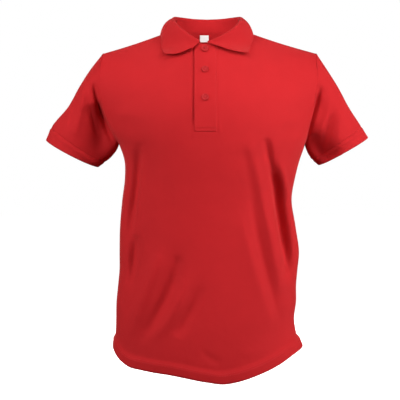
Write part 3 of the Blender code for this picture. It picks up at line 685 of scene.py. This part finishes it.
def faces_of(*grids):
    """The outer faces of several grids, for laying something over them."""
    points, faces = [], []
    for grid in grids:
        faces += (quads_of(grid.shape, False) + len(points)).reshape(-1, 4).tolist()
        points += [Vector(p) for p in grid.reshape(-1, 3)]
    return BVHTree.FromPolygons(points, faces)


def rim_of(shape, ring):
    rows, columns = shape[:2]
    for c in range(columns):
        yield 0, c
        yield rows - 1, c
    if not ring:
        for r in range(1, rows - 1):
            yield r, 0
            yield r, columns - 1


def share_seams(groups):
    """Gives the pieces of different groups the same normal where they meet."""
    rims = [
        [(p, i, tuple(p.grid[i].round(6))) for p in group for i in rim_of(p.grid.shape, p.ring)]
        for group in groups
    ]
    total = {}
    for rim in rims:
        own = {}
        for piece, i, k in rim:
            own[k] = own.get(k, 0) + piece.normals[i]
        for k, normal in own.items():
            total[k] = total.get(k, 0) + unit(normal)
    for piece, i, k in sum(rims, []):
        piece.normals[i] = unit(total[k])


def steps_along(grid, axis):
    """Arc length from the first row (axis 0) or column (axis 1)."""
    steps = np.linalg.norm(np.diff(grid, axis=axis), axis=-1)
    zero = np.zeros_like(np.take(steps, [0], axis=axis))
    return np.concatenate([zero, np.cumsum(steps, axis=axis)], axis=axis)


def bell(distance, width):
    return np.exp(-((distance / width) ** 2))


def seam_dip(distance, depth=SEAM_DIP):
    return -depth * bell(distance, SEAM_REACH)


class Piece:
    """One cloth piece's outer face as a grid, with its normals."""

    def __init__(self, grid, ring=False):
        self.grid = grid
        self.ring = ring
        self.renew()

    def push(self, height):
        self.grid = self.grid + height[..., None] * self.normals

    def renew(self):
        self.normals = grid_normals(self.grid, self.ring)

    def at(self, row, col):
        """(points, normals) at fractional rows and columns of a piece that is no ring."""
        rows, columns = self.grid.shape[:2]
        row = np.clip(row, 0, rows - 1 - 1e-9)
        col = np.clip(col, 0, columns - 1 - 1e-9)
        r, c = row.astype(int), col.astype(int)
        fr, fc = (row % 1)[..., None], (col % 1)[..., None]

        def read(a):
            low = a[r, c] * (1 - fc) + a[r, c + 1] * fc
            high = a[r + 1, c] * (1 - fc) + a[r + 1, c + 1] * fc
            return low * (1 - fr) + high * fr

        return read(self.grid), unit(read(self.normals))


# ---- meshes


def placed(name, data):
    made = bpy.data.objects.new(name, data)
    bpy.context.scene.collection.objects.link(made)
    return made


def made_mesh(name, points, faces, material):
    data = bpy.data.meshes.new(name)
    data.from_pydata(points, [], faces)
    data.update()
    data.shade_smooth()
    data.materials.append(material)
    return placed(name, data)


def open_edges(faces):
    """The edges that only one face has, in that face's direction."""
    edges = {}
    for face in faces.tolist():
        for a, b in zip(face, face[1:] + face[:1]):
            if not edges.pop((b, a), False):
                edges[a, b] = True
    return edges


def cloth_map(piece, across):
    """Where each point of a piece lies on its flat cloth, and how far round a ring is."""
    columns = piece.grid.shape[1]
    u = steps_along(piece.grid, 1)
    around = u[:, -1:].mean() * columns / (columns - 1)
    if piece.ring:
        u = np.broadcast_to(np.linspace(0, around, columns, endpoint=False), u.shape)
    else:
        u = u - u[:, columns // 2][:, None]
        if across is not None:
            u = np.broadcast_to(u[across], u.shape)
    return np.stack([u, steps_along(piece.grid, 0)], axis=-1).reshape(-1, 2), around


def wall(name, piece, thickness, material, left_out=None, across=None):
    """A closed wall of cloth with a UV map in metres: u across the piece, v along it."""
    faces = quads_of(piece.grid.shape, piece.ring)
    if left_out is not None:
        faces = faces[~left_out]
    faces = faces.reshape(-1, 4)
    edges = open_edges(faces)
    outer, normals = piece.grid.reshape(-1, 3), piece.normals.reshape(-1, 3)
    inner = outer - thickness * normals
    count = len(outer)
    rim_out = {}
    for a, b in edges:
        side = unit(np.cross(outer[b] - outer[a], normals[a]))
        for v in (a, b):
            rim_out[v] = rim_out.get(v, 0) + side
    rim = sorted(rim_out)
    rim_index = {v: 2 * count + i for i, v in enumerate(rim)}
    rim_points = np.array([
        (outer[v] + inner[v]) / 2 + ROUND_RIM * thickness * unit(rim_out[v]) for v in rim
    ])
    points = np.concatenate([outer, inner, rim_points])
    all_faces = faces.tolist() + (faces[:, ::-1] + count).tolist()
    for a, b in edges:
        all_faces.append([b, a, rim_index[a], rim_index[b]])
        all_faces.append([rim_index[b], rim_index[a], a + count, b + count])
    made = made_mesh(name, points.tolist(), all_faces, material)

    data = made.data
    flat, around = cloth_map(piece, across)
    loops = np.zeros(len(data.loops), int)
    data.loops.foreach_get("vertex_index", loops)
    coords = np.concatenate([flat, flat, flat[rim]])[loops]
    if piece.ring:
        # the quads that close the ring run on past its last column
        u = coords.reshape(-1, 4, 2)[:, :, 0]
        wide = u.max(axis=1) - u.min(axis=1) > around / 2
        u += around * (wide[:, None] & (u < around / 2))
    data.uv_layers.new(name="cloth").data.foreach_set("uv", coords.astype(np.float32).ravel())
    if left_out is not None:
        drop_loose(data)
    return made


def drop_loose(data):
    """Leaves out the points of the slit, which have no faces."""
    mesh = bmesh.new()
    mesh.from_mesh(data)
    bmesh.ops.delete(mesh, geom=[v for v in mesh.verts if not v.link_faces], context="VERTS")
    mesh.to_mesh(data)
    mesh.free()


def add_tube(verts, faces, centres, across, up, radii, sides=THREAD_SIDES):
    """Adds a capped tube: a ring round each centre, in the plane of its two directions."""
    first = len(verts)
    for i, radius in enumerate(radii):
        for k in range(sides):
            t = 2 * math.pi * k / sides
            off = across[i] * math.cos(t) + up[i] * math.sin(t)
            verts.append(tuple(centres[i] + radius * off))
    last = len(verts) - sides
    for ring in range(first, last, sides):
        for k in range(sides):
            a, b = ring + k, ring + (k + 1) % sides
            faces.append([a, b, b + sides, a + sides])
    faces.append([first + k for k in range(sides)][::-1])
    faces.append([last + k for k in range(sides)])


def stitches(name, rows, material):
    """Thread lying on the cloth: rows holds (points, normals) of each sewn line."""
    verts, faces = [], []
    # along each stitch: where, how thick, and how far its middle lies above the cloth
    shape = [(0.0, 0.25, -0.6), (0.14, 0.9, 0.15), (0.5, 1.0, 0.15), (0.86, 0.9, 0.15)]
    shape = np.array(shape + [(1.0, 0.25, -0.6)])
    for points, normals in rows:
        along = steps_along(points, 0)
        for start in np.arange(STITCH_PITCH * 0.3, along[-1] - STITCH_LENGTH, STITCH_PITCH):
            at = start + STITCH_LENGTH * shape[:, 0]
            centre, normal = (
                np.stack([np.interp(at, along, values[:, k]) for k in range(3)], axis=-1)
                for values in (points, normals)
            )
            normal = unit(normal)
            across = unit(np.cross(unit(np.gradient(centre, axis=0)), normal))
            raised = centre + normal * (THREAD_RADIUS * shape[:, 2:])
            add_tube(verts, faces, raised, across, normal, THREAD_RADIUS * shape[:, 1])
    return made_mesh(name, verts, faces, material)


# ---- materials

# RED_DEEP is the darker end of the cloth colour. It gives random mottle, and in the knits also
# painted shade in their hollows.
RED = (0.59, 0.0136, 0.0176)
RED_DEEP = (0.49, 0.0092, 0.0124)
BUTTON_RED = (0.54, 0.014, 0.018)
BUTTON_RED_DEEP = (0.42, 0.0096, 0.0125)
LABEL_WHITE = (0.96, 0.95, 0.93)
LABEL_SHADE = (0.9, 0.89, 0.86)
PIQUE_CELL = (0.0017, 0.0023)
RIB_WALE = 0.00145
RIB_LOOP = 0.0013
LABEL_THREADS = (0.0005, 0.0004)


class Nodes:
    """A material's nodes, made with few words."""

    def __init__(self, name):
        self.material = bpy.data.materials.new(name)
        self.material.use_nodes = True
        self.tree = self.material.node_tree
        self.shader = self.tree.nodes["Principled BSDF"]

    def feed(self, socket, value):
        if isinstance(value, bpy.types.NodeSocket):
            self.tree.links.new(value, socket)
        else:
            socket.default_value = value

    def add(self, kind, **inputs):
        node = self.tree.nodes.new(kind)
        for name, value in inputs.items():
            self.feed(node.inputs[name], value)
        return node

    def math(self, operation, *values):
        node = self.add("ShaderNodeMath")
        node.operation = operation
        for socket, value in zip(node.inputs, values):
            self.feed(socket, value)
        return node.outputs[0]

    def wave(self, kind, value, length):
        return self.math(kind, self.math("MULTIPLY", value, 2 * math.pi / length))

    def cloth_place(self):
        """Metres across and along the cloth."""
        uv = self.add("ShaderNodeUVMap")
        uv.uv_map = "cloth"
        split = self.add("ShaderNodeSeparateXYZ", Vector=uv.outputs["UV"])
        return split.outputs["X"], split.outputs["Y"]

    def noise(self, scale, detail=2.0):
        place = self.add("ShaderNodeTexCoord").outputs["Object"]
        node = self.add("ShaderNodeTexNoise", Scale=scale, Detail=detail, Vector=place)
        return node.outputs["Fac"]

    def mix(self, factor, dark, light):
        node = self.add("ShaderNodeMix")
        node.data_type = "RGBA"
        for name, value in (("Factor", factor), ("A", (*dark, 1)), ("B", (*light, 1))):
            self.feed(node.inputs[name], value)
        return node.outputs["Result"]

    def bump(self, height, strength, distance, normal=None):
        node = self.add("ShaderNodeBump", Strength=strength, Distance=distance, Height=height)
        if normal is not None:
            self.feed(node.inputs["Normal"], normal)
        return node.outputs["Normal"]

    def finish(self, **sockets):
        """Sets the shader's sockets, with _ for each space, and gives the material."""
        for name, value in sockets.items():
            self.feed(self.shader.inputs[name.replace("_", " ")], value)
        return self.material


def knit(name, kind):
    """Cotton knit: pique's staggered cells, or the wales of a flat-knit rib, with painted shade
    in their hollows.
    """
    n = Nodes(name)
    u, v = n.cloth_place()
    if kind == "pique":
        cells = n.math("MULTIPLY", *(n.wave("COSINE", *at) for at in zip((u, v), PIQUE_CELL)))
        relief = n.math("MULTIPLY_ADD", cells, 0.5, 0.5)
        strength, distance = 0.55, 0.0003
    else:
        wale = n.math("ABSOLUTE", n.wave("SINE", u, 2 * RIB_WALE))
        relief = n.math("MULTIPLY_ADD", n.wave("SINE", v, RIB_LOOP), 0.12, wale)
        strength, distance = 0.6, 0.00035
    height = n.math("MULTIPLY_ADD", n.noise(2600.0, 3.0), 0.35, relief)
    rumple = n.bump(n.noise(44.0, 3.0), 0.22, 0.004)
    worn = n.noise(26.0, 3.0)
    # The base colour mixes random mottle with painted shade, which is darker in the hollows
    # between the knit's cells and wales.
    hollow_shade_and_mottle = n.math("MULTIPLY_ADD", worn, 0.55, n.math("MULTIPLY", relief, 0.45))
    return n.finish(
        Base_Color=n.mix(hollow_shade_and_mottle, RED_DEEP, RED),
        Normal=n.bump(height, strength, distance, rumple),
        Roughness=0.8, Specular_IOR_Level=0.18,
        Sheen_Weight=0.12, Sheen_Roughness=0.45, Sheen_Tint=(1.0, 0.45, 0.4, 1),
    )


def smooth_surface(name, dark, light, mottle, grain, strength, **sockets):
    n = Nodes(name)
    relief = n.bump(n.noise(grain), strength, 0.0002)
    return n.finish(Base_Color=n.mix(n.noise(*mottle), dark, light), Normal=relief, **sockets)


def label_material():
    n = Nodes("woven_label")
    weave = (n.wave("SINE", *at) for at in zip(n.cloth_place(), LABEL_THREADS))
    return n.finish(
        Base_Color=n.mix(n.noise(220.0), LABEL_SHADE, LABEL_WHITE),
        Normal=n.bump(n.math("MULTIPLY", *weave), 0.25, 0.0001),
        Roughness=0.5, Sheen_Weight=0.2,
    )


# ---- pieces


def body_pieces():
    """The panels, sleeves and cuffs, with their seams drawn in and the hem turned up."""
    pieces = {"front": Piece(panel_grid(FRONT)), "back": Piece(panel_grid(BACK))}
    for name, *part in (("sleeve", 0, 1, SLEEVE_RINGS), ("cuff", 1, CUFF_END, CUFF_RINGS)):
        for side, hand in (("left", 1), ("right", -1)):
            pieces[f"{name}_{side}"] = Piece(sleeve_grid(hand, *part), ring=True)
    groups = [[pieces["front"], pieces["back"]], [p for n, p in pieces.items() if "_" in n]]
    share_seams(groups)
    places = np.abs(panel_places())
    neck = places < NECK_PLACE - 1e-9
    for name in ("front", "back"):
        piece = pieces[name]
        from_side = steps_along(piece.grid, 1)
        from_side = np.minimum(from_side, from_side[:, -1:] - from_side)
        up = steps_along(piece.grid, 0)
        from_top = up[-1:] - up
        height = seam_dip(from_side, SIDE_DIP)
        at_shoulder = np.where(neck, 1 - ease((NECK_PLACE - places) / SHOULDER_BLEND), 1.0)
        height = np.minimum(height, seam_dip(from_top) * at_shoulder)
        height += HEM_STEP * ease((HEM_TOP - up) / HEM_RAMP)
        height -= HEM_TUCK * np.clip(1 - up / HEM_DEPTH, 0, 1)
        if name == "front":
            height += beside_band(piece.grid)
        piece.push(height)
    for name, piece in pieces.items():
        up = steps_along(piece.grid, 0)
        if name.startswith("sleeve"):
            piece.push(np.minimum(seam_dip(up, SIDE_DIP), seam_dip(up[-1:] - up)))
        elif name.startswith("cuff"):
            piece.push(seam_dip(up) + CUFF_SWELL * bell(up - SWELL_UP, SWELL_WIDTH))
        piece.renew()
    share_seams(groups)
    return pieces


def beside_band(grid):
    """The front sinks along the placket's free edge, and fills up to its sewn side and foot."""
    x, z = grid[..., 0], grid[..., 2]
    near = bell(x - BAND_RIGHT_X + GROOVE_AWAY, GROOVE_WIDTH)
    tall = ease((z - GROOVE_FOOT) / 0.012) * ease((GROOVE_TOP - z) / 0.01)
    foot = torso_point(0.0, BAND_FOOT_LEVEL, FRONT)[2]
    right_of = np.clip(BAND_RIGHT_X - 0.002 - x, 0, 1)
    beyond = np.maximum(x - BAND_LEFT_X, foot - z)
    outside = np.hypot(beyond, right_of)
    ramp = (beyond > 0) * ease(outside / 0.0016) * bell(outside, 0.0075)
    return RAMP_BESIDE_BAND * ramp - GROOVE_BESIDE_BAND * near * tall


def band_piece(grid, box):
    """A placket band with its sewn lines pressed in, and its free edges a little full."""
    piece = Piece(grid)
    across = steps_along(grid, 1)
    in_side = np.minimum(across, across[:, -1:] - across)
    up = steps_along(grid, 0)
    height = -0.00035 * bell(in_side - BAND_STITCH_IN, 0.0009)
    height += 0.00025 * bell(in_side, 0.0016)
    if box:
        sewn = np.minimum(across[:, -1:] - across, up)
        height -= (LAY_GAP + UPPER_BAND) * (1 - ease(sewn / SUNK_EDGE))
        inner = (in_side > BAND_STITCH_IN).astype(float)
        for line, lift in BOX_LINES:
            height += lift * bell(up - line, 0.0013) * (0.4 + 0.6 * inner)
        height -= 0.0005 * bell(up - BOX_HEIGHT + 0.0018, 0.001) * inner
    piece.push(height)
    piece.renew()
    return piece


def level_at(height):
    """The front's level at this height in the middle of the placket."""
    levels = np.linspace(SLIT_FOOT_LEVEL, TIP_LEVEL, SCAN_STEPS)
    return float(np.interp(height, torso_point(0.0, levels, FRONT)[:, 2], levels))


def slit_cells():
    """The faces of the front that the placket's slit leaves out."""
    places, levels = panel_places(), panel_levels()
    low = levels[:-1, None] > SLIT_FOOT_LEVEL
    between = (places[:-1] > SLIT_RIGHT_PLACE - 1e-9) & (places[1:] < SLIT_LEFT_PLACE + 1e-9)
    return low & between[None, :]


def button(name, height, band, material, thread):
    """A turned button with a raised rim, four holes and the thread through them."""
    level = level_at(height)
    place = float(places_at(BUTTON_X, level))
    outward = Vector(torso_normal(place, level, FRONT))
    start = Vector(torso_point(place, level, FRONT)) + outward * 0.02
    face_point, normal, _, _ = band.ray_cast(start, -outward)
    turn = normal.to_track_quat("Z", "Y").to_matrix().to_4x4()
    turn.translation = face_point + normal * BUTTON_GAP

    rings = len(BUTTON_PROFILE)
    radii, heights = np.array(BUTTON_PROFILE).T
    centres = np.outer(BUTTON_THICKNESS * heights, [0, 0, 1.0])
    x_way, y_way = (np.tile(way, (rings, 1)) for way in ([1.0, 0, 0], [0, 1.0, 0]))
    verts, faces = [], []
    add_tube(verts, faces, centres, x_way, y_way, BUTTON_RADIUS * radii, BUTTON_SIDES)
    made = made_mesh(name, verts, faces, material)
    for x in (-HOLE_OUT, HOLE_OUT):
        for y in (-HOLE_OUT, HOLE_OUT):
            bpy.ops.mesh.primitive_cylinder_add(
                vertices=16, radius=HOLE_RADIUS, depth=0.01, location=(x, y, 0)
            )
            cut = made.modifiers.new("hole", "BOOLEAN")
            cut.operation = "DIFFERENCE"
            cut.solver = "EXACT"
            cut.object = bpy.context.object
    graph = bpy.context.evaluated_depsgraph_get()
    cut_mesh = bpy.data.meshes.new_from_object(made.evaluated_get(graph))
    holes = [cut.object for cut in made.modifiers]
    made.modifiers.clear()
    made.data = cut_mesh
    for hole in holes:
        bpy.data.objects.remove(hole)
    made.data.transform(turn)
    made.data.shade_smooth()
    made.data.set_sharp_from_angle(angle=math.radians(38))

    verts, faces = [], []
    ts = np.linspace(-1, 1, 9)
    bow = BUTTON_THICKNESS * 0.62 + STRAND_RISE * (1 - ts**2) - 0.0002
    for hole_x in (-HOLE_OUT, HOLE_OUT):
        for shift in (-STRAND_APART, STRAND_APART):
            line = np.stack([hole_x + shift + 0 * ts, STRAND_REACH * ts, bow], axis=-1)
            run = unit(np.gradient(line, axis=0))
            side = unit(np.cross(run, [0.3, 0.1, 1.0]))
            add_tube(verts, faces, line, side, np.cross(side, run), [STRAND_RADIUS] * len(ts))
    tied = made_mesh(name + "_thread", verts, faces, thread)
    tied.data.transform(turn)
    return made, tied


def hem_rows(piece):
    """The two sewn lines round a panel's hem."""
    up = steps_along(piece.grid, 0).T
    columns, rows = (np.arange(n, dtype=float) for n in up.shape)
    return [
        piece.at(np.array([np.interp(s, one, rows) for one in up]), columns) for s in HEM_STITCHES
    ]


def band_rows(piece):
    """The stitches down both sides of a band and the box at its foot."""
    rows, columns = piece.grid.shape[:2]
    wide = steps_along(piece.grid, 1)[rows // 2, -1]
    tall = steps_along(piece.grid, 0)[-1, columns // 2]
    left = BAND_STITCH_IN / wide * (columns - 1)
    right = columns - 1 - left
    low, high = (up / tall * (rows - 1) for up in (BAND_FOOT_STITCH, BOX_HEIGHT))
    down, over = np.linspace(low, rows - 1.5, 120), np.linspace(left, right, 40)
    sides = [piece.at(down, np.full_like(down, c)) for c in (left, right)]
    return sides + [piece.at(np.full_like(over, r), over) for r in (low, high)]


# ---- the shirt

pique = knit("pique_knit", "pique")
rib = knit("flat_knit_rib", "rib")
thread = smooth_surface(
    "sewing_thread", RED_DEEP, RED, [900.0], 4200.0, 0.4,
    Roughness=0.55, Specular_IOR_Level=0.35,
)
plastic = smooth_surface(
    "button_plastic", BUTTON_RED_DEEP, BUTTON_RED, [320.0, 4.0], 1500.0, 0.08,
    Roughness=0.5, Specular_IOR_Level=0.22,
)
white = label_material()

pieces = body_pieces()
upper = band_piece(band_grid(0, LAY_GAP + UPPER_BAND), True)
under = band_piece(band_grid(UNDERBAND_INSET, -(CLOTH + LAY_GAP)), False)
collar = Piece(collar_grid(faces_of(pieces["front"].grid, pieces["back"].grid, upper.grid)))

walls = {
    "front": wall("front_panel", pieces["front"], CLOTH, pique, left_out=slit_cells()),
    "back": wall("back_panel", pieces["back"], CLOTH, pique),
    "sleeve_left": wall("sleeve_left_cloth", pieces["sleeve_left"], CLOTH, pique),
    "sleeve_right": wall("sleeve_right_cloth", pieces["sleeve_right"], CLOTH, pique),
    "cuff_left": wall("cuff_left_rib", pieces["cuff_left"], RIB, rib),
    "cuff_right": wall("cuff_right_rib", pieces["cuff_right"], RIB, rib),
    "collar": wall("collar_rib", collar, COLLAR_KNIT, rib, across=STAND_ROWS + ROLL_ROWS // 2),
    "placket_upper": wall("placket_upper_band", upper, UPPER_BAND, pique),
    "placket_under": wall("placket_under_band", under, BAND, pique),
    "label": wall("neck_label", Piece(label_grid()), LABEL_CLOTH, white),
}
for node, made in walls.items():
    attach(made, "root")
    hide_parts(node)

band_faces = faces_of(upper.grid)
for name, height in BUTTON_HEIGHTS.items():
    made, tied = button(name + "_turned", height, band_faces, plastic, thread)
    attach(made, "root")
    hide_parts(name)
    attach(tied, "root")

sewn = {
    "hem_stitches_front": hem_rows(pieces["front"]),
    "hem_stitches_back": hem_rows(pieces["back"]),
    "placket_stitches": band_rows(upper),
}
seams = {}
for name, rows in sewn.items():
    seams[name] = stitches(name, rows, thread)
    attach(seams[name], "root")

# ---- the row for a cloth piece's cut, which nothing fills here

# A row for a piece's flat width and length, its flat area, how it is held, and what it hangs from
# or lies on. The sleeves and cuffs are measured all round.
Cut = namedtuple("Cut", "width length area held on")

# ---- floor, light and camera

FLOOR_LEVEL = -0.82
MIDDLE = (0.0, 0.0, -0.3)
WORLD_LIGHT = 0.02
CAMERA_PLACE = (-0.0154, -2.3, -0.346)
SENSOR_WIDTH = 36
PICTURE_WIDTH = 0.82  # of what the camera takes in at the shirt


def aimed(name, data, place, aim):
    made = placed(name, data)
    made.location = place
    made.rotation_mode = "QUATERNION"
    made.rotation_quaternion = (Vector(place) - Vector(aim)).to_track_quat("Z", "Y")
    return made


def lamp(name, place, power, size=0.7, aim=MIDDLE):
    data = bpy.data.lights.new(name, "AREA")
    data.shape = "DISK"
    data.size = size
    data.energy = power
    return aimed(name, data, place, aim)


def spot(name, place, aim, degrees, power):
    data = bpy.data.lights.new(name, "SPOT")
    data.energy = power
    data.spot_size = math.radians(degrees)
    data.spot_blend = 1.0
    data.shadow_soft_size = 0.25
    return aimed(name, data, place, aim)


pale = Nodes("pale_floor").finish(
    Base_Color=(0.9, 0.9, 0.9, 1), Roughness=0.9,
    Emission_Color=(1, 1, 1, 1), Emission_Strength=1.0,
)
corners = [(x, y, FLOOR_LEVEL) for x, y in ((-30, -30), (30, -30), (30, 30), (-30, 30))]
floor = made_mesh("floor", corners, [[0, 1, 2, 3]], pale)
floor.visible_diffuse = False
floor.visible_glossy = False

lamp("left_front", (-1.3, -1.2, 0.3), 14.5)
lamp("right_front", (1.3, -1.2, 0.3), 10)
lamp("left_high", (-1.1, -1.0, 1.0), 7)
lamp("right_high", (1.1, -1.0, 1.0), 12)
lamp("left_low", (-1.6, -0.5, -0.6), 6.5)
lamp("right_low", (1.6, -0.5, -0.6), 16)
lamp("top", (0.0, -0.2, 1.8), 4.3, 1.2)
spot("on_right_shoulder", (0.7, -1.8, 0.3), (0.2, -0.05, -0.12), 14, 36)
spot("on_right_flank", (0.5, -1.9, 0.1), (0.14, -0.1, -0.38), 15, 34)
spot("on_the_collar", (0.0, -1.3, 1.0), (0.0, 0.0, 0.0), 9, 120)
lamp("back_left", (-0.7, 2.1, 0.2), 24, 0.9)
lamp("back_right", (0.5, 2.2, 0.1), 14, 0.9)
# A small lamp inside the chest lights the inside of the back neck.
inside = lamp("inside_the_neck", (0.0, -0.045, -0.085), 0.06, 0.05, (-0.003, 0.045, 0.0))
inside.visible_camera = False

# The camera sees a white world, which lights the shirt only faintly.
scene = bpy.context.scene
world = bpy.data.worlds.new("studio")
scene.world = world
world.use_nodes = True
tree = world.node_tree
tree.nodes.clear()
path = tree.nodes.new("ShaderNodeLightPath")
either = tree.nodes.new("ShaderNodeMixShader")
out = tree.nodes.new("ShaderNodeOutputWorld")
tree.links.new(path.outputs["Is Camera Ray"], either.inputs["Fac"])
for slot, strength in ((1, WORLD_LIGHT), (2, 1.0)):
    background = tree.nodes.new("ShaderNodeBackground")
    background.inputs["Color"].default_value = (1, 1, 1, 1)
    background.inputs["Strength"].default_value = strength
    tree.links.new(background.outputs[0], either.inputs[slot])
tree.links.new(either.outputs[0], out.inputs["Surface"])
scene.view_settings.view_transform = "Standard"
scene.view_settings.look = "None"

camera_data = bpy.data.cameras.new("camera")
camera_data.sensor_width = SENSOR_WIDTH
camera_data.lens = SENSOR_WIDTH * -CAMERA_PLACE[1] / PICTURE_WIDTH
camera = placed("camera", camera_data)
camera.location = CAMERA_PLACE
camera.rotation_euler = (math.pi / 2, 0, 0)
scene.camera = camera
